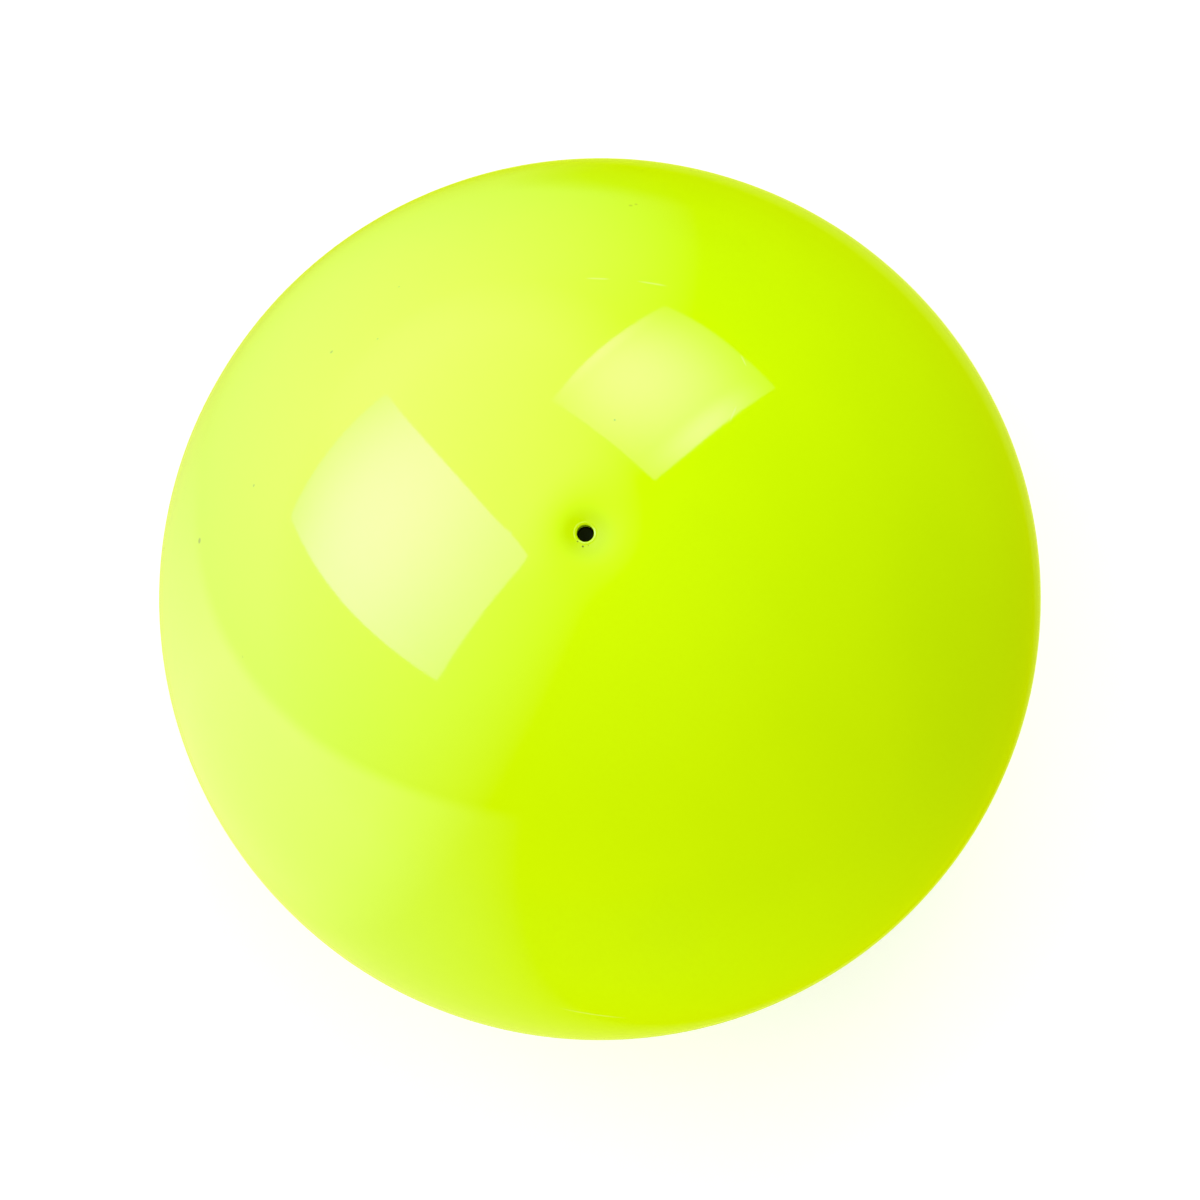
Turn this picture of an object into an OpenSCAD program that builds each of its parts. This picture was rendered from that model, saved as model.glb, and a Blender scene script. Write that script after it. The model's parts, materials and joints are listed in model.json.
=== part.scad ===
// Rhythmic gymnastics ball: a moulded hollow wall, dished around its valve, with a rubber patch
// and valve bonded inside and a tapered stopper that is pulled out to pump the ball up.
// Millimetres. The ball's centre is the origin and the valve's axis is +Z.

/* [Ball] */
// Outside diameter of the inflated ball
ball_d = 185; // [160:1:200]
// Thickness of the moulded wall
wall_t = 3; // [2.4:0.1:4]
// Height of the parting line that the two mould halves leave
parting_h = 0.05; // [0.03:0.01:0.15]
// Width of the parting line
parting_w = 0.8; // [0.4:0.1:1.2]

/* [Valve dish] */
// Radius of the shallow dish that the wall has around its valve
dish_r = 14; // [11:0.5:18]
// Depth of that dish below the full sphere, on the valve's axis
dish_depth = 0.95; // [0.6:0.05:1.2]
// Diameter of the valve hole
hole_d = 3.2; // [2.8:0.1:3.6]
// Rounding of the hole's edge
mouth_round = 0.3; // [0.1:0.05:0.5]
// Diameter of the wider room below the hole, around the stopper's head
relief_d = 3.8; // [3.7:0.1:4.6]
// Height of that room above the patch's seat
relief_h = 1.2; // [0.8:0.1:1.6]

/* [Valve patch] */
// Diameter of the rubber patch
patch_d = 28; // [22:1:32]
// Thickness of the patch
patch_t = 1.2; // [0.9:0.1:2]
// Thickness that is left at the patch's bevelled edge
patch_edge_t = 0.4; // [0.2:0.1:0.8]
// Width of the bevel
patch_bevel_w = 3; // [1:0.5:5]
// Least step that the patch's seat makes at its edge inside the wall
seat_step = 0.15; // [0.1:0.05:0.4]

/* [Valve housing] */
// Diameter of the flange that is bonded to the patch
flange_d = 16; // [13:0.5:20]
// Thickness of the flange
flange_t = 1.4; // [1:0.1:2.5]
// Diameter of the neck below the flange
neck_d = 8; // [6.5:0.5:10]
// Length of the neck below the flange
neck_len = 11; // [8:0.5:16]
// Fillet between the flange and the neck
neck_fillet = 1.2; // [0.5:0.1:1.6]
// Chamfer at the neck's inner end
neck_chamfer = 0.8; // [0.3:0.1:1.2]

/* [Valve stopper] */
// Thickness of the stopper's head
head_t = 2.2; // [1.6:0.1:2.3]
// Depth of the hollow in the head's top
head_hollow = 0.25; // [0.1:0.05:0.4]
// Width of the rim around that hollow
head_rim = 0.35; // [0.2:0.05:0.6]
// Diameter of the shank under the head
shank_d = 2.4; // [2:0.1:2.7]
// Diameter of the shank at its tip
tip_d = 1.9; // [1.5:0.1:2.2]
// Length of the shank
shank_len = 9; // [6:0.5:12]

/* [Clearances] */
// Radial slip of the stopper's head in the valve hole
head_slip = 0.1; // [0.06:0.01:0.2]
// Radial fit of the shank in the housing's bore
shank_fit = 0.05; // [0.02:0.01:0.1]
// Gap under the stopper's head when it is pushed home
head_gap = 0.05; // [0.02:0.01:0.15]
// Room around the patch on its seat
patch_slip = 0.5; // [0.2:0.1:1]
// Room between the patch's hole and the valve hole, in radius
patch_hole_slip = 0.3; // [0.2:0.05:0.6]

/* [Hidden] */
$fn = 180;

ball_r = ball_d / 2;
inner_r = ball_r - wall_t;
hole_r = hole_d / 2;
relief_r = relief_d / 2;
patch_r = patch_d / 2;
flange_r = flange_d / 2;
neck_r = neck_d / 2;
shank_r = shank_d / 2;
tip_r = tip_d / 2;
head_r = hole_r - head_slip;
pad_r = patch_r + patch_slip;
patch_hole_r = hole_r + patch_hole_slip;

// Steps along the dish's curve
dish_steps = 40;
// Degrees between points on the hole's rounded edge
round_step = 15;
// How far a cutting shape runs past what it cuts
cut_over = 2;
// How far the dish's cut rises out of the sphere at its rim, so that the two faces cross
rim_rise = 0.01;

neon = [0.80, 0.97, 0.0];
black_rubber = [0.07, 0.08, 0.03];

// How deep the dish lies at radius r: steepest at the hole, easing evenly to no slope at its rim
function dish_sink(r) = r < dish_r ? dish_depth * pow(1 - r / dish_r, 2) : 0;

// Height of the wall's outer face at radius r from the valve's axis
function skin_z(r) = sqrt(ball_r * ball_r - r * r) - dish_sink(r);

// The hole's rounded edge starts at edge_r, and its straight wall ends at mouth_z
edge_r = hole_r + mouth_round;
mouth_z = skin_z(edge_r) - mouth_round;

// The patch's seat inside the wall: it keeps the wall's full thickness at the hole, and for a wide
// patch it lies lower, so that it still stands proud of the wall's inner face at its edge
wall_seat_z = skin_z(edge_r) - wall_t;
edge_seat_z = sqrt(inner_r * inner_r - pad_r * pad_r) - seat_step;
seat_z = min(wall_seat_z, edge_seat_z);
flange_z = seat_z - patch_t;
plug_z = flange_z + head_gap;

// Lost radius for each millimetre down the tapered bore
taper = (shank_r - tip_r) / shank_len;
bore_top_r = shank_r + shank_fit;
bore_len = flange_t + neck_len;
bore_end_r = bore_top_r - taper * bore_len;

// Radius of a circle whose cap is w wide and h high
function cap_radius(w, h) = (w * w / 4 + h * h) / (2 * h);

// The half of a section that is turned about the axis
module right_half()
    intersection() {
        children();
        translate([0, -ball_d])
            square([ball_d, 2 * ball_d]);
    }

// Space above the dished skin: around the hole's edge and out to the dish's rim
function edge_points() = [
    for (a = [0 : round_step : 90])
        [edge_r - mouth_round * cos(a), mouth_z + mouth_round * sin(a)]
];
function dish_points() = [
    for (i = [1 : dish_steps])
        let (r = edge_r + (dish_r - edge_r) * i / dish_steps)
        [r, skin_z(r) + (i < dish_steps ? 0 : rim_rise)]
];
module above_skin()
    polygon(concat(
        [[0, mouth_z]],
        edge_points(),
        dish_points(),
        [[dish_r + cut_over, ball_r + cut_over], [0, ball_r + cut_over]]
    ));

// Outside of the ball with its parting line
module outer_outline() {
    bead_r = cap_radius(parting_w, parting_h);
    circle(r = ball_r);
    translate([ball_r + parting_h - bead_r, 0])
        circle(r = bead_r);
}

// The wall, thickened inside into a pad for the patch
module wall_section() {
    difference() {
        outer_outline();
        circle(r = inner_r);
    }
    intersection() {
        circle(r = ball_r);
        translate([0, seat_z])
            square([pad_r, ball_r - seat_z]);
    }
}

// The moulded wall with its dish, its valve hole and the flat seat for the patch
module ball_shell()
    color(neon)
    rotate_extrude()
    right_half()
    difference() {
        wall_section();
        above_skin();
        square([pad_r, seat_z]);
        square([relief_r, seat_z + relief_h]);
        square([hole_r, ball_r]);
    }

// A rubber disc with a bevelled edge, flat against its seat
module valve_patch()
    color(black_rubber)
    translate([0, 0, flange_z])
    rotate_extrude()
    polygon([
        [patch_hole_r, 0],
        [patch_r - patch_bevel_w, 0],
        [patch_r, patch_t - patch_edge_t],
        [patch_r, patch_t],
        [patch_hole_r, patch_t]
    ]);

// The flange and the neck as one turned piece, down from the flange's top
module flanged_neck()
    rotate_extrude()
    polygon([
        [0, 0],
        [flange_r, 0],
        [flange_r, -flange_t],
        [neck_r, -flange_t],
        [neck_r, neck_chamfer - bore_len],
        [neck_r - neck_chamfer, -bore_len],
        [0, -bore_len]
    ]);

// Fillet around the neck's root, sunk a little into the flange and the neck
module neck_root() {
    root_r = neck_r + neck_fillet;
    sunk = neck_fillet / 2;
    rotate_extrude()
    difference() {
        translate([neck_r - sunk, -flange_t - neck_fillet])
            square([neck_fillet + sunk, neck_fillet + sunk]);
        translate([root_r, -flange_t - neck_fillet])
            circle(r = neck_fillet);
    }
}

// The rubber valve: a flanged neck with a tapered bore for the stopper
module valve_housing()
    color(black_rubber)
    translate([0, 0, flange_z])
    difference() {
        union() {
            flanged_neck();
            neck_root();
        }
        translate([0, 0, -bore_len - cut_over])
            cylinder(
                h = bore_len + 2 * cut_over,
                r1 = bore_end_r - taper * cut_over,
                r2 = bore_top_r + taper * cut_over
            );
    }

// The stopper: a head with a shallow hollow in its top, a tapered shank and a round tip
module valve_plug() {
    hollow_r = cap_radius(2 * (head_r - head_rim), head_hollow);
    color(black_rubber)
    translate([0, 0, plug_z])
    difference() {
        union() {
            cylinder(h = head_t, r = head_r);
            translate([0, 0, -shank_len])
                cylinder(h = shank_len, r1 = tip_r, r2 = shank_r);
            translate([0, 0, -shank_len])
                sphere(r = tip_r);
        }
        translate([0, 0, head_t - head_hollow + hollow_r])
            sphere(r = hollow_r);
    }
}

ball_shell();
valve_patch();
valve_housing();
valve_plug();
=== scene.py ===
import json
import math

import bpy
import numpy as np
from mathutils import Matrix, Vector


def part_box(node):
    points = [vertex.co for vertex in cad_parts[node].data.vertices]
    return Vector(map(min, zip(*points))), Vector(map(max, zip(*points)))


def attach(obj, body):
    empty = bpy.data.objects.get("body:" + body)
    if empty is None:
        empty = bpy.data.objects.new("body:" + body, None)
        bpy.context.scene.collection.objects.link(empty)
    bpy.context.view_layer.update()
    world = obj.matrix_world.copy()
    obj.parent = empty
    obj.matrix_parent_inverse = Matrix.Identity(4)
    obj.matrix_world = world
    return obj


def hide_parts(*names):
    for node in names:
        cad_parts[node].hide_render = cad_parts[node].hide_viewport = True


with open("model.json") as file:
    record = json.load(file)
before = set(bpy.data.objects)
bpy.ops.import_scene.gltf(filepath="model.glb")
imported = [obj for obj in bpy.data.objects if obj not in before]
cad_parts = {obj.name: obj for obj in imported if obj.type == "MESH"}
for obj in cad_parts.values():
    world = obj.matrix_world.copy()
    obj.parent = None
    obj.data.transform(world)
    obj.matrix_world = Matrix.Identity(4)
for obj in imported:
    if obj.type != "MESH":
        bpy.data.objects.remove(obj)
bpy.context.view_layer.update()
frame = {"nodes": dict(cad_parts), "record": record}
mm = 0.001
scene = bpy.context.scene
print("frame loaded:", sorted(frame["nodes"]))

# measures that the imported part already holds
wallLow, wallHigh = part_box("ball_shell")
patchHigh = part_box("valve_patch")[1]
plugLow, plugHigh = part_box("valve_plug")
mounts = {mount["name"]: mount for mount in frame["record"]["mounts"]}
ballRadius = -wallLow.z
partingHeight = wallHigh.x - ballRadius
holeRadius = mounts["valve_bore"]["dims"]["r_mm"] * mm
seatHeight = patchHigh.z


# turned pieces

sharpFrom = math.radians(40)      # a bend past this shows as an edge


def section(radii, heights):
    # profile points (r, z); either one may be a single value for all of them
    return np.stack(np.broadcast_arrays(radii, heights), 1)


def unitRing(steps):
    # points (cos a, sin a), evenly round the Z axis
    around = np.arange(steps) / steps * 2 * math.pi
    return np.stack([np.cos(around), np.sin(around)], 1)


def turnedSurface(name, profile, stepsAround, moved=None):
    # each profile point (r, z) goes round the Z axis as (r cos a, r sin a, z); the two ends lie on
    # the axis and close as single points
    body = profile[1:-1]
    rows = len(body)
    points = np.empty((rows, stepsAround, 3))
    points[..., :2] = body[:, None, :1] * unitRing(stepsAround)
    points[..., 2] = body[:, 1:]
    ends = np.array([[0, 0, profile[0, 1]], [0, 0, profile[-1, 1]]])
    verts = np.concatenate([points.reshape(-1, 3), ends])
    if moved is not None:
        verts = moved(verts)
    here = np.arange(rows * stepsAround).reshape(rows, stepsAround)
    beside = np.roll(here, -1, axis=1)
    quads = np.stack([here[:-1], beside[:-1], beside[1:], here[1:]], -1).reshape(-1, 4)
    first, last = rows * stepsAround, rows * stepsAround + 1
    start = np.stack([np.full(stepsAround, first), beside[0], here[0]], -1)
    stop = np.stack([np.full(stepsAround, last), here[-1], beside[-1]], -1)
    corners = np.concatenate([quads.ravel(), start.ravel(), stop.ravel()])
    counts = np.concatenate([np.full(len(quads), 4), np.full(2 * stepsAround, 3)])
    mesh = bpy.data.meshes.new(name)
    mesh.vertices.add(len(verts))
    mesh.vertices.foreach_set("co", verts.ravel())
    mesh.loops.add(len(corners))
    mesh.loops.foreach_set("vertex_index", corners)
    mesh.polygons.add(len(counts))
    mesh.polygons.foreach_set("loop_start", np.concatenate([[0], np.cumsum(counts)[:-1]]))
    mesh.polygons.foreach_set("use_smooth", np.ones(len(counts), bool))
    mesh.update(calc_edges=True)
    mesh.validate()
    mesh.set_sharp_from_angle(angle=sharpFrom)
    piece = bpy.data.objects.new(name, mesh)
    scene.collection.objects.link(piece)
    return piece


# ball wall

ballWall = {
    "thickness": 3 * mm,
    "dishRadius": 14 * mm,        # shallow dish around the valve
    "dishDepth": 0.95 * mm,       # below the full sphere, on the valve's axis
    "dishLean": 0.024,            # the valve sits a little askew: slope of the dish at its middle
    "leanBearing": math.radians(-7.6),
    "mouthRound": 0.3 * mm,       # rounded edge of the hole
    "lipRadius": 2.0 * mm,        # faint raised ring around the hole
    "lipWidth": 0.25 * mm,        # to each side of its crest
    "lipHeight": 0.045 * mm,
    "reliefRadius": 1.9 * mm,     # wider room below the hole, around the stopper's head
    "reliefHeight": 1.2 * mm,
    "patchRoom": 0.5 * mm,        # room around the patch on its seat
    "partingWidth": 0.8 * mm,
    "waveDepth": 0.05 * mm,       # how far the skin's soft unevenness sinks in
    "waveSeed": 11,
    "waveCount": 14,
    "waveLengths": (26 * mm, 60 * mm),
    "waveSpread": 2.2,            # the higher, the closer their sum stays to its middle
    "stepsAround": 288,
    "stepsInside": 44,
    "stepsSeat": 9,
    "stepsBore": 7,
    "stepsMouth": 10,             # round the hole's edge
    "stepsDish": 76,
    "stepsAbove": 84,             # from the dish down to the parting line
    "stepsLine": 10,              # across the parting line
    "stepsBelow": 100,            # from the parting line down to the bottom
}


def skinHeight(radius):
    # height of the full sphere at this radius, less the dish: its depth times (1 - r / reach)^2, so
    # it is steepest at the hole and runs out with no slope at its rim; the lip adds its height times
    # (1 - ((r - crest) / width)^2)^2
    w = ballWall
    share = np.clip(1 - radius / w["dishRadius"], 0, None)
    lip = np.clip(1 - ((radius - w["lipRadius"]) / w["lipWidth"]) ** 2, 0, None)
    sphere = np.sqrt(ballRadius ** 2 - radius ** 2)
    return sphere - w["dishDepth"] * share ** 2 + w["lipHeight"] * lip ** 2


def wallProfile():
    # half section from the inner bottom, up the inside, out through the hole and down the skin;
    # gives radius, height, how far the point belongs to the outer skin and how far the dish leans there
    w = ballWall
    innerRadius = ballRadius - w["thickness"]
    padRadius = patchHigh.x + w["patchRoom"]
    edgeRadius = holeRadius + w["mouthRound"]
    mouthHeight = skinHeight(edgeRadius) - w["mouthRound"]
    stepHeight = seatHeight + w["reliefHeight"]
    inside = np.linspace(-math.pi / 2, math.acos(padRadius / innerRadius), w["stepsInside"])
    inner = section(innerRadius * np.cos(inside), innerRadius * np.sin(inside))
    seat = section(np.linspace(padRadius, w["reliefRadius"], w["stepsSeat"]), seatHeight)
    relief = np.array([[w["reliefRadius"], seatHeight + w["reliefHeight"] / 2],
                       [w["reliefRadius"], stepHeight], [holeRadius, stepHeight]])
    bore = section(holeRadius, np.linspace(stepHeight, mouthHeight, w["stepsBore"] + 2)[1:-1])
    turn = np.linspace(0, math.pi / 2, w["stepsMouth"])
    mouth = section(edgeRadius - w["mouthRound"] * np.cos(turn),
                    mouthHeight + w["mouthRound"] * np.sin(turn))
    closer = np.linspace(0, 1, w["stepsDish"])[1:] ** 2
    dishSteps = edgeRadius + (w["dishRadius"] - edgeRadius) * closer
    dish = section(dishSteps, skinHeight(dishSteps))
    top = math.acos(w["dishRadius"] / ballRadius)
    line = w["partingWidth"] / 2 / ballRadius
    down = np.concatenate([
        np.linspace(top, line, w["stepsAbove"])[1:],
        np.linspace(line, -line, w["stepsLine"])[1:],
        np.linspace(-line, -math.pi / 2, w["stepsBelow"])[1:],
    ])
    raised = ballRadius + partingHeight * np.clip(1 - (down / line) ** 2, 0, None)
    side = section(raised * np.cos(down), raised * np.sin(down))
    hidden = np.concatenate([inner, seat, relief, bore])
    profile = np.concatenate([hidden, mouth, dish, side])
    profile[[0, -1], 0] = 0
    skin = np.concatenate([np.zeros(len(hidden) + len(mouth)),
                           np.clip((dishSteps - edgeRadius) / w["dishRadius"], 0, 1),
                           np.ones(len(side))])
    lean = np.concatenate([np.zeros(len(hidden)), np.sin(turn), np.ones(len(dish)), np.zeros(len(side))])
    return profile, skin, lean


def softWaves(places):
    # a few long sine waves that cross the ball in different directions, added up and kept in 0..1
    w = ballWall
    draw = np.random.default_rng(w["waveSeed"])
    ways = draw.normal(size=(w["waveCount"], 3))
    ways /= np.linalg.norm(ways, axis=1, keepdims=True)
    lengths = draw.uniform(*w["waveLengths"], size=w["waveCount"])
    starts = draw.uniform(0, 2 * math.pi, size=w["waveCount"])
    waves = np.sin(places @ (ways * 2 * math.pi / lengths[:, None]).T + starts)
    return np.clip(0.5 + waves.sum(1) / (w["waveSpread"] * math.sqrt(w["waveCount"])), 0, 1)


def makeBallWall():
    w = ballWall
    profile, *shares = wallProfile()
    reach, lean = (np.concatenate([np.repeat(share[1:-1], w["stepsAround"]), share[[0, -1]]])
                   for share in shares)

    def unevenSkin(verts):
        # the dish sinks by its lean times the distance along the lean, fading as (1 - (r / reach)^2)^2
        # to its rim, and the skin sinks towards the ball's centre by the wave depth times the waves
        along = verts[:, 0] * math.cos(w["leanBearing"]) + verts[:, 1] * math.sin(w["leanBearing"])
        inDish = np.clip(1 - (verts[:, 0] ** 2 + verts[:, 1] ** 2) / w["dishRadius"] ** 2, 0, None)
        leaning = verts.copy()
        leaning[:, 2] -= w["dishLean"] * along * inDish ** 2 * lean
        sink = w["waveDepth"] * softWaves(verts) * reach
        length = np.linalg.norm(leaning, axis=1)
        return leaning * (1 - sink / length)[:, None]

    piece = turnedSurface("ball_skin", profile, w["stepsAround"], unevenSkin)
    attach(piece, "ball")
    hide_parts("ball_shell")
    return piece


# stopper in the valve

stopper = {
    "headThick": 2.2 * mm,
    "hollow": 0.25 * mm,          # hollow in the head's top
    "rim": 0.35 * mm,             # flat rim around it
    "edgeRound": 0.12 * mm,
    "shankRadius": 1.2 * mm,
    "tipRadius": 0.95 * mm,
    "rootFillet": 0.1 * mm,       # under the head
    "stepsAround": 72,
    "stepsTip": 12,
    "stepsShank": 12,
    "stepsRound": 7,              # round the fillet and the head's edges
    "stepsHollow": 12,
}


def stopperProfile():
    # half section from the round tip, up the tapered shank, round the head and into its hollow
    s = stopper
    headRadius = plugHigh.x
    top = plugHigh.z
    under = top - s["headThick"]
    shankEnd = under - s["rootFillet"]
    tipMiddle = plugLow.z + s["tipRadius"]
    tip = np.linspace(-math.pi / 2, 0, s["stepsTip"])
    tipArc = section(s["tipRadius"] * np.cos(tip), tipMiddle + s["tipRadius"] * np.sin(tip))
    climb = np.linspace(0, 1, s["stepsShank"])[1:]
    shank = section(s["tipRadius"] + (s["shankRadius"] - s["tipRadius"]) * climb,
                    tipMiddle + (shankEnd - tipMiddle) * climb)
    quarter = np.linspace(0, math.pi / 2, s["stepsRound"])
    slow, fast = 1 - np.cos(quarter), 1 - np.sin(quarter)
    root = section(s["shankRadius"] + s["rootFillet"] * slow,
                   shankEnd + s["rootFillet"] * np.sin(quarter))[1:]
    lower = section(headRadius - s["edgeRound"] * fast, under + s["edgeRound"] * slow)
    upper = section(headRadius - s["edgeRound"] * slow, top - s["edgeRound"] * fast)
    inwards = np.linspace(1, 0, s["stepsHollow"])
    bowl = section((headRadius - s["rim"]) * inwards, top - s["hollow"] * (1 - inwards ** 2))
    profile = np.concatenate([tipArc, shank, root, lower, upper, bowl])
    profile[[0, -1], 0] = 0
    return profile


def makeStopper():
    piece = turnedSurface("valve_stopper", stopperProfile(), stopper["stepsAround"])
    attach(piece, "plug")
    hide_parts("valve_plug")
    return piece


# nodes

def placeNode(tree, kind, inputs=None, **settings):
    # one node with its settings; each input takes a plain value or a link from another node
    node = tree.nodes.new(kind)
    for key, value in settings.items():
        setattr(node, key, value)
    for key, value in (inputs or {}).items():
        if isinstance(value, bpy.types.NodeSocket):
            tree.links.new(value, node.inputs[key])
        else:
            node.inputs[key].default_value = value
    return node


def calc(tree, operation, *values):
    # result of a maths node
    return placeNode(tree, "ShaderNodeMath", dict(enumerate(values)), operation=operation).outputs[0]


def calcVector(tree, operation, *values):
    # result of a vector maths node: a number for a length, a distance or a dot product
    node = placeNode(tree, "ShaderNodeVectorMath", dict(enumerate(values)), operation=operation)
    number = operation in ("LENGTH", "DISTANCE", "DOT_PRODUCT")
    return node.outputs["Value" if number else "Vector"]


def rise(tree, value, start, full, most=1, shape="LINEAR"):
    # 0 until the value passes start, then growing to the most that it gives at full
    node = placeNode(tree, "ShaderNodeMapRange", {
        "Value": value, "From Min": start, "From Max": full, "To Max": most}, interpolation_type=shape)
    return node.outputs["Result"]


def blendValue(tree, mask, low, high):
    # runs from low to high with the mask
    node = placeNode(tree, "ShaderNodeMapRange", {"Value": mask, "To Min": low, "To Max": high})
    return node.outputs["Result"]


def mixColour(tree, mask, low, high):
    # low where the mask is 0, high where it is 1
    return placeNode(tree, "ShaderNodeMix", {0: mask, 6: low, 7: high}, data_type="RGBA").outputs[2]


def strongest(tree, masks):
    # the highest of several masks at each place
    most = masks[0]
    for mask in masks[1:]:
        most = calc(tree, "MAXIMUM", most, mask)
    return most


# finishes

# where a mark ends and where it is full, in shares of its radius or half its size
markEdges = {"speck": (1.3, 0.5), "scuff": (1.0, 0.3)}


def newGroup(name, vectors, values):
    # an empty node group that takes these vectors and values and gives a mask
    group = bpy.data.node_groups.new(name, "ShaderNodeTree")
    for label in vectors:
        group.interface.new_socket(label, in_out="INPUT", socket_type="NodeSocketVector")
    for label in values:
        group.interface.new_socket(label, in_out="INPUT", socket_type="NodeSocketFloat")
    group.interface.new_socket("Mask", in_out="OUTPUT", socket_type="NodeSocketFloat")
    given = placeNode(group, "NodeGroupInput").outputs
    return group, given, placeNode(group, "NodeGroupOutput").inputs["Mask"]


def dappleGroup():
    # soft cloudy patches: noise of the given size, spread to 0..1 between two levels
    group, given, mask = newGroup("dapple", ["Place"], ["Scale", "Detail", "Low", "High"])
    noise = placeNode(group, "ShaderNodeTexNoise", {
        "Vector": given["Place"], "Scale": given["Scale"], "Detail": given["Detail"]})
    spread = rise(group, noise.outputs["Fac"], given["Low"], given["High"], shape="SMOOTHSTEP")
    group.links.new(spread, mask)
    return group


def speckGroup():
    # a small round mark: full strength near its middle, with a soft edge
    group, given, mask = newGroup("speck", ["Place", "Middle"], ["Radius", "Strength"])
    away = calcVector(group, "DISTANCE", given["Place"], given["Middle"])
    share = calc(group, "DIVIDE", away, given["Radius"])
    group.links.new(rise(group, share, *markEdges["speck"], given["Strength"], "SMOOTHSTEP"), mask)
    return group


def scuffGroup():
    # a hairline: thin across one direction, fading towards its ends along the other
    group, given, mask = newGroup("scuff", ["Place", "Middle", "Across"], ["Half Length", "Half Width"])
    offset = calcVector(group, "SUBTRACT", given["Place"], given["Middle"])
    side = calc(group, "ABSOLUTE", calcVector(group, "DOT_PRODUCT", offset, given["Across"]))
    thin = calc(group, "DIVIDE", side, given["Half Width"])
    ends = calc(group, "DIVIDE", calcVector(group, "LENGTH", offset), given["Half Length"])
    thin, ends = (rise(group, share, *markEdges["scuff"], shape="SMOOTHSTEP") for share in (thin, ends))
    group.links.new(calc(group, "MULTIPLY", thin, ends), mask)
    return group


groups = {"dapple": dappleGroup(), "speck": speckGroup(), "scuff": scuffGroup()}


def useGroup(tree, name, inputs):
    # places one of the groups with its own values and gives its mask
    return placeNode(tree, "ShaderNodeGroup", inputs, node_tree=groups[name]).outputs["Mask"]


def newMaterial(name):
    material = bpy.data.materials.new(name)
    material.use_nodes = True
    tree = material.node_tree
    place = placeNode(tree, "ShaderNodeTexCoord").outputs["Object"]
    return material, tree, tree.nodes["Principled BSDF"], place


def addGrain(tree, shader, place, noise, bump):
    # very fine unevenness: noise as the height of a bump
    grain = placeNode(tree, "ShaderNodeTexNoise", {"Vector": place, **noise})
    node = placeNode(tree, "ShaderNodeBump", {"Height": grain.outputs["Fac"], **bump})
    tree.links.new(node.outputs["Normal"], shader.inputs["Normal"])


neonVinyl = {
    "colour": (0.640, 0.940, 0.0, 1),
    "deeper": (0.610, 0.915, 0.0, 1),     # where the pigment lies thicker
    "mottle": {"Scale": 14, "Detail": 3, "Low": 0.32, "High": 0.70},
    "shadeAroundHole": (0.557, 0.818, 0.0, 1),  # painted shade around the hole, the skin darker towards it
    # how far out from the hole the painted shade reaches
    "holeShadeReach": 5.0 * mm,
    "ior": 1.79,                          # strong mirror of the glossy skin
    "gloss": (0.045, 0.065),              # roughness, clean and smudged
    "smudge": {"Scale": 22, "Detail": 5, "Low": 0.50, "High": 0.78},
    "peel": {"Scale": 900, "Detail": 2},  # grain of the moulded skin
    "peelBump": {"Strength": 0.012, "Distance": 0.1 * mm},
    "dirt": (0.085, 0.125, 0.0, 1),
    "worn": (0.80, 0.97, 0.30, 1),
    "wornShare": 0.35,                    # how far a scuff takes on that colour
    "wornRough": 0.12,                    # roughness that a scuff adds
    "specks": [              # bearing and angle off the valve in degrees, radius in mm, how dark
        (112.8, 44.6, 0.24, 0.40), (129.2, 44.2, 0.42, 0.45), (122.3, 39.1, 0.28, 0.35),
        (155.5, 46.7, 0.34, 0.40), (163.6, 58.1, 0.62, 0.50), (71.2, 50.2, 0.42, 0.25),
        (70.4, 50.7, 0.34, 0.25), (63.5, 14.1, 0.24, 0.55), (-176.7, 49.9, 0.30, 0.16),
        (-112.6, 1.6, 0.20, 0.9), (-144.7, 1.33, 0.16, 0.7), (-89.0, 1.49, 0.12, 0.5),
        (-75.0, 98.0, 0.45, 0.50), (18.0, 84.0, 0.36, 0.40), (-140.0, 112.0, 0.50, 0.50),
        (64.0, 121.0, 0.40, 0.45), (171.0, 96.0, 0.32, 0.45),
    ],
    "scuffs": [              # bearing and angle of both ends, half width in mm
        ((78.4, 34.3), (72.5, 34.3), 0.30), ((67.5, 34.5), (60.4, 34.9), 0.30),
        ((-64.0, 101.0), (-58.0, 106.0), 0.22), ((38.7, 30.3), (35.4, 29.4), 0.20),
        ((29.5, 24.5), (26.7, 22.2), 0.25), ((-108.0, 70.0), (-98.0, 74.0), 0.28),
        ((150.0, 92.0), (163.0, 97.0), 0.28), ((-20.0, 118.0), (-31.0, 113.0), 0.30),
    ],
}


def onBall(bearing, offAxis):
    # point on the skin at this bearing round +Z and this angle off the valve's axis, in degrees
    turn, lean = math.radians(bearing), math.radians(offAxis)
    out = ballRadius * math.sin(lean)
    height = skinHeight(out) if offAxis < 90 else ballRadius * math.cos(lean)
    return Vector((out * math.cos(turn), out * math.sin(turn), height))


def speckMask(tree, place, bearing, offAxis, radius, dark):
    return useGroup(tree, "speck", {
        "Place": place, "Middle": onBall(bearing, offAxis), "Radius": radius * mm, "Strength": dark})


def scuffMask(tree, place, first, second, halfWidth):
    start, end = onBall(*first), onBall(*second)
    middle = ((start + end) / 2).normalized() * ballRadius
    return useGroup(tree, "scuff", {
        "Place": place, "Middle": middle, "Across": (end - start).cross(middle).normalized(),
        "Half Length": (end - start).length / 2, "Half Width": halfWidth * mm})


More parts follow.
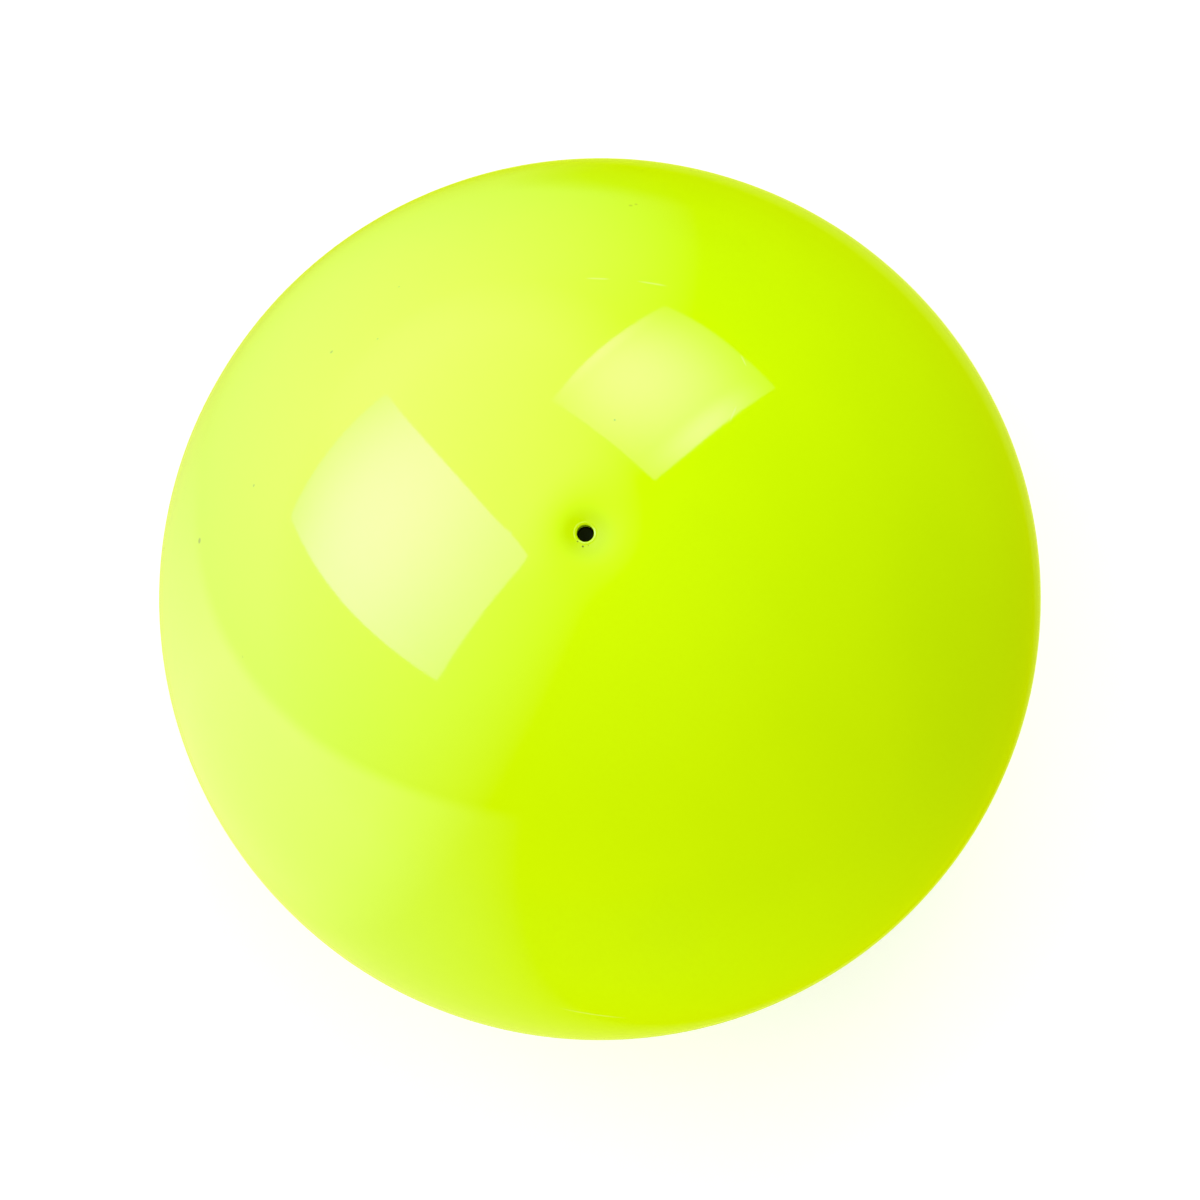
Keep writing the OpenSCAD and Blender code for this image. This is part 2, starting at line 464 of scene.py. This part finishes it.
def makeNeonVinyl():
    v = neonVinyl
    material, tree, shader, place = newMaterial("neon_vinyl")
    mottle = useGroup(tree, "dapple", {"Place": place, **v["mottle"]})
    smudge = useGroup(tree, "dapple", {"Place": place, **v["smudge"]})
    # painted shade: a soft round mask on the valve's axis, full near the hole and fading out across the
    # dish
    holeShadeMask = useGroup(tree, "speck", {
        "Place": place, "Middle": onBall(0, 0), "Radius": v["holeShadeReach"], "Strength": 1})
    scuffed = strongest(tree, [scuffMask(tree, place, *scuff) for scuff in v["scuffs"]])
    dirty = strongest(tree, [speckMask(tree, place, *speck) for speck in v["specks"]])
    colour = mixColour(tree, mottle, v["colour"], v["deeper"])
    # the painted shade darkens the colour towards the hole
    colour = mixColour(tree, holeShadeMask, colour, v["shadeAroundHole"])
    colour = mixColour(tree, blendValue(tree, scuffed, 0, v["wornShare"]), colour, v["worn"])
    colour = mixColour(tree, dirty, colour, v["dirt"])
    tree.links.new(colour, shader.inputs["Base Color"])
    clean = blendValue(tree, smudge, *v["gloss"])
    rough = calc(tree, "ADD", clean, blendValue(tree, scuffed, 0, v["wornRough"]))
    tree.links.new(rough, shader.inputs["Roughness"])
    addGrain(tree, shader, place, v["peel"], v["peelBump"])
    shader.inputs["IOR"].default_value = v["ior"]
    return material


rubbers = {
    "patch_rubber": {"colour": (0.0060, 0.0072, 0.0024, 1), "chalky": (0.016, 0.017, 0.011, 1),
                     "rough": (0.62, 0.78), "grain": 1500, "bump": 0.35, "shine": 0.2},
    "valve_rubber": {"colour": (0.0055, 0.0066, 0.0020, 1), "chalky": (0.013, 0.014, 0.009, 1),
                     "rough": (0.55, 0.70), "grain": 1800, "bump": 0.25, "shine": 0.2},
    "stopper_rubber": {"colour": (0.0072, 0.0098, 0.0008, 1), "chalky": (0.011, 0.014, 0.0020, 1),
                       "rough": (0.60, 0.75), "grain": 2600, "bump": 0.12, "shine": 0.06},
}
rubberBloom = {"Scale": 260, "Detail": 4, "Low": 0.42, "High": 0.72}    # where it turns chalky
grainDetail = 3
grainDepth = 0.05 * mm


def makeRubber(name):
    r = rubbers[name]
    material, tree, shader, place = newMaterial(name)
    bloom = useGroup(tree, "dapple", {"Place": place, **rubberBloom})
    tree.links.new(mixColour(tree, bloom, r["colour"], r["chalky"]), shader.inputs["Base Color"])
    tree.links.new(blendValue(tree, bloom, *r["rough"]), shader.inputs["Roughness"])
    addGrain(tree, shader, place, {"Scale": r["grain"], "Detail": grainDetail},
             {"Strength": r["bump"], "Distance": grainDepth})
    shader.inputs["Specular IOR Level"].default_value = r["shine"]
    return material


def dress(piece, material):
    piece.data.materials.clear()
    piece.data.materials.append(material)


skinPiece = makeBallWall()
stopperPiece = makeStopper()
dress(skinPiece, makeNeonVinyl())
dress(stopperPiece, makeRubber("stopper_rubber"))
dress(frame["nodes"]["valve_patch"], makeRubber("patch_rubber"))
dress(frame["nodes"]["valve_housing"], makeRubber("valve_rubber"))
print("pieces made:", len(skinPiece.data.polygons), "faces on the wall,",
      len(stopperPiece.data.polygons), "on the stopper")


# camera

view = {
    "distance": 0.80,
    "offAxis": math.radians(7.92),    # between the valve's axis and the line to the camera
    "roll": math.radians(-12.57),
    "lens": 113.68,
    "sensor": 36,
    "shift": -0.0008,                 # of the picture's width, upwards
    "sees": (0.01, 50),               # nearest and farthest
}


def cameraAxes():
    # right, up and back of a camera that leans off the valve's axis and is rolled about its own
    lean, roll = view["offAxis"], view["roll"]
    right = Vector((1, 0, 0))
    up = Vector((0, math.cos(lean), math.sin(lean)))
    back = Vector((0, -math.sin(lean), math.cos(lean)))
    return (right * math.cos(roll) + up * math.sin(roll),
            up * math.cos(roll) - right * math.sin(roll), back)


def axesMatrix(x, y, z, middle):
    turn = Matrix((x, y, z)).transposed().to_4x4()
    turn.translation = middle
    return turn


def seen(x, y, z):
    # a place or direction given to the right, up and towards the camera from the ball's centre
    right, up, back = cameraAxes()
    return right * x + up * y + back * z


camera = bpy.data.objects.new("camera", bpy.data.cameras.new("camera"))
camera.data.lens = view["lens"]
camera.data.sensor_width = view["sensor"]
camera.data.shift_y = view["shift"]
camera.data.clip_start, camera.data.clip_end = view["sees"]
camera.matrix_world = axesMatrix(*cameraAxes(), seen(0, 0, view["distance"]))
scene.collection.objects.link(camera)
scene.camera = camera


# floor

floorSheet = {
    "radius": 0.235,
    "gap": 0.05 * mm,                     # under the ball
    "colour": (0.90, 0.90, 0.895, 1),
    "lift": 0.28,                         # glow that the camera sees on top of the colour
    "rings": 11,
    "stepsAround": 128,
}


def emptyMaterial(name):
    # a material with its output alone
    material = bpy.data.materials.new(name)
    material.use_nodes = True
    tree = material.node_tree
    tree.nodes.clear()
    return material, tree, placeNode(tree, "ShaderNodeOutputMaterial")


def floorMaterial():
    # plain and pale; a camera under the floor looks through it
    material, tree, out = emptyMaterial("pale_floor")
    plain = placeNode(tree, "ShaderNodeBsdfDiffuse", {"Color": floorSheet["colour"]})
    byCamera = placeNode(tree, "ShaderNodeLightPath").outputs["Is Camera Ray"]
    glow = placeNode(tree, "ShaderNodeEmission", {
        "Strength": calc(tree, "MULTIPLY", byCamera, floorSheet["lift"])})
    above = placeNode(tree, "ShaderNodeAddShader", {0: plain.outputs[0], 1: glow.outputs[0]})
    under = placeNode(tree, "ShaderNodeNewGeometry").outputs["Backfacing"]
    clear = placeNode(tree, "ShaderNodeBsdfTransparent")
    both = placeNode(tree, "ShaderNodeMixShader", {
        0: calc(tree, "MULTIPLY", under, byCamera), 1: above.outputs[0], 2: clear.outputs[0]})
    tree.links.new(both.outputs[0], out.inputs["Surface"])
    return material


def makeFloor():
    # flat round sheet: rings of points (r cos a, r sin a) around one in the middle
    f = floorSheet
    radii = np.linspace(0, f["radius"], f["rings"] + 1)[1:]
    points = np.full((f["rings"], f["stepsAround"], 3), -ballRadius - f["gap"])
    points[..., :2] = radii[:, None, None] * unitRing(f["stepsAround"])
    verts = np.concatenate([points.reshape(-1, 3), [[0, 0, -ballRadius - f["gap"]]]])
    here = np.arange(f["rings"] * f["stepsAround"]).reshape(f["rings"], -1)
    beside = np.roll(here, -1, axis=1)
    quads = np.stack([here[:-1], here[1:], beside[1:], beside[:-1]], -1).reshape(-1, 4)
    middle = np.stack([np.full(f["stepsAround"], len(verts) - 1), here[0], beside[0]], -1)
    mesh = bpy.data.meshes.new("floor")
    mesh.from_pydata(verts.tolist(), [], quads.tolist() + middle.tolist())
    floor = bpy.data.objects.new("floor", mesh)
    scene.collection.objects.link(floor)
    dress(floor, floorMaterial())
    floor.visible_glossy = False


# light

# softboxes as seen from the camera: middle, two edge directions, size along each, brightness at the
# edge and on top of it at the hot spot, the hot spot's place on the face, how fast it fades along
# each edge, the bright strips along two edges with their place and fade, the lamp's power and tint
softboxes = {
    "softbox_left": {"middle": (-0.5572, 0.1863, 0.3864), "along": (0.584, 0.770, 0.256),
                     "beside": (-0.539, 0.604, -0.587), "size": (0.474, 0.803), "shine": (1.05, 4.26),
                     "hotSpot": (0.488, 0.510, 0), "fade": (0.717, 3.884), "strips": (0, 0),
                     "stripSpot": (0.5, 0, 0), "stripFade": 0, "tint": (0.60, 1, 1, 1), "power": 1.73,
                     "lampTint": (0.90, 1, 1)},
    "softbox_top": {"middle": (0.1612, 0.5587, 0.3891), "along": (0.620, 0.460, -0.635),
                    "beside": (-0.727, 0.641, -0.245), "size": (0.503, 0.386), "shine": (0.0, 3.10),
                    "hotSpot": (0.372, 0.643, 0), "fade": (4.063, 2.120), "strips": (1.66, 0.81),
                    "stripSpot": (0.433, 0, 0), "stripFade": 12, "tint": (0.80, 1, 1, 1), "power": 1.32,
                    "lampTint": (0.76, 1, 1)},
}
stripLimits = ((0.176, 0.076), (0.90, 0.96))    # where each strip starts and is full, up the face

# plain lamps that fill the shade, seen from the camera: direction, power and size
fillLamps = [((0.10, -0.10, 1.0), 5.54, 1.5), ((-0.10, -0.97, -0.20), 4.39, 0.9),
             ((0.25, 0.95, -0.20), 1.12, 0.9), ((0, -1, -0.45), 3.94, 0.9),
             ((0.71, -0.71, -0.45), 1.55, 0.9), ((0.71, 0.71, -0.45), 0.52, 0.9),
             ((0, 1, -0.45), 1.07, 0.9)]
fillDistance = 1.1


def makeLamp(name, middle, along, beside, size, power, tint=(1, 1, 1)):
    # a plain area lamp whose face looks at the ball; the gloss doesn't show it
    lamp = bpy.data.objects.new(name, bpy.data.lights.new(name, "AREA"))
    lamp.data.shape = "RECTANGLE"
    lamp.data.size, lamp.data.size_y = size
    lamp.data.energy = power
    lamp.data.color = tint
    outward = along.cross(beside)
    if outward.dot(middle) < 0:
        along, outward = -along, -outward
    lamp.matrix_world = axesMatrix(along, beside, outward, middle)
    lamp.visible_glossy = False
    lamp.visible_camera = False
    scene.collection.objects.link(lamp)


def softboxMaterial(name):
    # glow that fades from the hot spot, with a bright strip along two edges
    s = softboxes[name]
    material, tree, out = emptyMaterial(name)
    spot = placeNode(tree, "ShaderNodeUVMap", uv_map="face").outputs["UV"]

    def fadeFrom(place, fade):
        # e to the power of minus the squared distance from the place, each edge with its own fade
        away = calcVector(tree, "SUBTRACT", spot, place)
        away = calcVector(tree, "MULTIPLY", away, (math.sqrt(fade[0]), math.sqrt(fade[1]), 0))
        square = calcVector(tree, "DOT_PRODUCT", away, away)
        return calc(tree, "EXPONENT", calc(tree, "MULTIPLY", square, -1))

    edgeShine, spotShine = s["shine"]
    bright = calc(tree, "MULTIPLY_ADD", fadeFrom(s["hotSpot"], s["fade"]), spotShine, edgeShine)
    height = placeNode(tree, "ShaderNodeSeparateXYZ", {"Vector": spot}).outputs["Y"]
    strips = calc(tree, "ADD", *(rise(tree, height, *limits, most)
                                 for limits, most in zip(stripLimits, s["strips"])))
    stripFade = fadeFrom(s["stripSpot"], (s["stripFade"], 0))
    bright = calc(tree, "MULTIPLY_ADD", strips, stripFade, bright)
    glow = placeNode(tree, "ShaderNodeEmission", {"Color": s["tint"], "Strength": bright})
    tree.links.new(glow.outputs[0], out.inputs["Surface"])
    return material


def makeSoftbox(name):
    # a bright card that the gloss mirrors, and a lamp of the same size and place for the plain light
    s = softboxes[name]
    middle, along, beside = seen(*s["middle"]), seen(*s["along"]).normalized(), seen(*s["beside"])
    beside = (beside - along * beside.dot(along)).normalized()
    u, v = along * s["size"][0] / 2, beside * s["size"][1] / 2
    mesh = bpy.data.meshes.new(name)
    mesh.from_pydata([middle - u - v, middle + u - v, middle + u + v, middle - u + v], [], [(0, 1, 2, 3)])
    mesh.uv_layers.new(name="face").data.foreach_set("uv", [0, 0, 1, 0, 1, 1, 0, 1])
    card = bpy.data.objects.new(name, mesh)
    scene.collection.objects.link(card)
    dress(card, softboxMaterial(name))
    card.visible_camera = False
    card.visible_diffuse = False
    card.visible_shadow = False
    makeLamp(name + "_lamp", middle, along, beside, s["size"], s["power"], s["lampTint"])


def makeFillLamps():
    back = cameraAxes()[2]
    for number, (direction, power, size) in enumerate(fillLamps):
        middle = seen(*direction).normalized() * fillDistance
        along = back.cross(middle).normalized()
        beside = middle.normalized().cross(along)
        makeLamp(f"fill_{number}", middle, along, beside, (size, size), power)


# what the gloss mirrors: each part has its direction as seen from the camera, where its light starts
# and is full along that direction, and how much it gives or takes
studio = {
    "wall": ((-0.914, 0.399, 0.071), 0.100, 1.030, 3.027),      # big pale wall on one side
    "table": ((0, 0.768, 0.640), -0.287, -0.347, 1),            # pale table below this level
    "near": ((0, -1, 0), -0.223, 0.144, 1),                     # its near side, away from the wall's foot
    "tableLight": ((-0.927, 0.329, -0.178), -0.099, 0.440, 1.313),    # it is lit from the wall's side
    "behind": ((0, 0, -1), 0.070, 1, -0.703),                   # both fall off away from the camera
    "corner": ((0.158, 0.609, -0.777), 0.955, 0.984, -0.888),   # dark behind the top, where the wall ends
    "glow": ((-0.497, 0.655, 0.569), 0.735, 0.889, 0.81),       # soft glow around the two softboxes
    "edge": ((0.173, 0.169, -0.970), 0.945, 1, 0.089),          # pale backdrop that the far edge mirrors
    "thrown": ((0, 0, -1), 0, 1, 1),      # the ball's own colour, thrown back by the table behind it
    "farther": ((0, 0, -1), -1, 1, 1),    # from in front of the ball to straight behind it
}
thrownColour = (0.72, 0.83, 0.0)
backLift = {"front": 0.51, "lift": 0.49, "bend": 3.0}    # all of it is dimmer in front, full behind
ambient = (0.578, 0.529, 0.529, 1)
backdrop = (1, 1, 1, 1)


def makeStudio():
    # even light all round; in the gloss a pale wall on one side and the table's light below
    world = bpy.data.worlds.new("studio")
    scene.world = world
    world.use_nodes = True
    tree = world.node_tree
    tree.nodes.clear()
    way = placeNode(tree, "ShaderNodeTexCoord").outputs["Generated"]
    rays = placeNode(tree, "ShaderNodeLightPath")

    def light(part):
        direction, start, full, most = studio[part]
        along = calcVector(tree, "DOT_PRODUCT", way, seen(*direction).normalized())
        return rise(tree, along, start, full, most)

    table = calc(tree, "MULTIPLY", light("table"), light("near"))
    pale = calc(tree, "MULTIPLY_ADD", table, light("tableLight"), light("wall"))
    for part in ("behind", "corner"):
        pale = calc(tree, "MULTIPLY_ADD", pale, light(part), pale)
    for part in ("glow", "edge"):
        pale = calc(tree, "ADD", pale, light(part))
    shine = calcVector(tree, "ADD", calcVector(tree, "MULTIPLY", thrownColour, light("thrown")), pale)
    farther = calc(tree, "POWER", light("farther"), backLift["bend"])
    share = calc(tree, "MULTIPLY_ADD", farther, backLift["lift"], backLift["front"])
    shine = calcVector(tree, "MULTIPLY", shine, share)
    colour = mixColour(tree, rays.outputs["Is Glossy Ray"], ambient, shine)
    colour = mixColour(tree, rays.outputs["Is Camera Ray"], colour, backdrop)
    sky = placeNode(tree, "ShaderNodeBackground", {"Color": colour})
    out = placeNode(tree, "ShaderNodeOutputWorld")
    tree.links.new(sky.outputs[0], out.inputs["Surface"])


makeFloor()
for name in softboxes:
    makeSoftbox(name)
makeFillLamps()
makeStudio()
scene.view_settings.view_transform = "Standard"
print("stage and light set")
